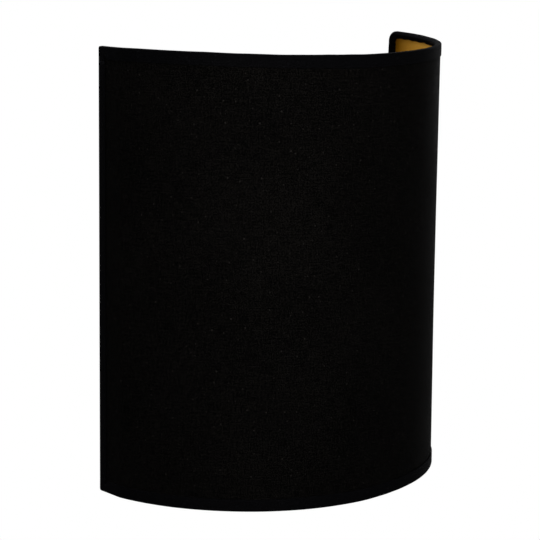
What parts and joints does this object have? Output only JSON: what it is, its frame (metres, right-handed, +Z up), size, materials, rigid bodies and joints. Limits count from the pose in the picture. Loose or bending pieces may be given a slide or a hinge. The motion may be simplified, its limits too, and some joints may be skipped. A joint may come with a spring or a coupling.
{
  "type": "fabric shade wall light",
  "caption": "Half-round black fabric shade with a gold lining on a wire frame, hooked over a wall plate that carries an upright screw-base lamp.",
  "frame": {"origin": "on the wall face, midway between the two wall screw slots", "axes": "+Z up, +Y into the wall, +X to the right seen from the front"},
  "size_m": [0.2612, 0.1291, 0.3],
  "materials": {
    "shade_cotton": "fine plain-woven black cotton",
    "shade_gold": "satin gold laminate",
    "trim_tape": "smooth black tape",
    "frame_wire": "black coated steel wire",
    "plate_paint": "satin black powder coat",
    "zinc_steel": "bright zinc plate",
    "black_screw": "black plated steel",
    "block_plastic": "moulded, matt",
    "holder_plastic": "moulded phenolic, satin",
    "carrier_ceramic": "steatite",
    "contact_brass": "bright",
    "bush_rubber": "soft, matt",
    "lead_brown": "silicone insulation",
    "lead_blue": "silicone insulation",
    "lamp_clear": "clear blown glass",
    "lamp_metal": "bright rolled shell",
    "lamp_solder": "solder",
    "lamp_black": "black glass",
    "lamp_phosphor": "phosphor coated rods"
  },
  "bodies": {
    "wall_fitting": {"back_plate": "plate_paint", "left_shade_clip": "plate_paint", "right_shade_clip": "plate_paint", "wall_strap": "zinc_steel", "strap_screws": "zinc_steel", "cap_nuts": "black_screw", "earth_screw": "zinc_steel", "terminal_block": "block_plastic", "terminal_screws": "zinc_steel", "lamp_arm": "plate_paint", "arm_screws": "black_screw", "lead_bush": "bush_rubber", "holder_cap": "holder_plastic", "holder_skirt": "holder_plastic", "contact_carrier": "carrier_ceramic", "thread_sleeve": "contact_brass", "spring_contact": "contact_brass", "hollow_nipple": "zinc_steel", "lock_nut": "zinc_steel", "line_lead": "lead_brown", "neutral_lead": "lead_blue"},
    "shade": {"shade_cover": "shade_cotton", "shade_liner": "shade_gold", "top_trim": "trim_tape", "bottom_trim": "trim_tape", "left_edge_trim": "trim_tape", "right_edge_trim": "trim_tape", "top_ring": "frame_wire", "bottom_ring": "frame_wire", "left_upright": "frame_wire", "right_upright": "frame_wire", "upper_cross_wire": "frame_wire", "lower_cross_wire": "frame_wire"},
    "lamp": {"lamp_tip": "lamp_solder", "lamp_insulator": "lamp_black", "lamp_screw_cap": "lamp_metal", "lamp_glass": "lamp_clear", "lamp_stem": "lamp_clear", "lamp_filaments": "lamp_phosphor"}
  },
  "joints": [
    {"name": "shade_lift", "type": "slide", "parent": "wall_fitting", "child": "shade", "axis": [0, 0, 1], "range_m": [0, 0.014]},
    {"name": "lamp_out", "type": "slide", "parent": "wall_fitting", "child": "lamp", "axis": [0, 0, 1], "range_m": [0, 0.03]}
  ]
}
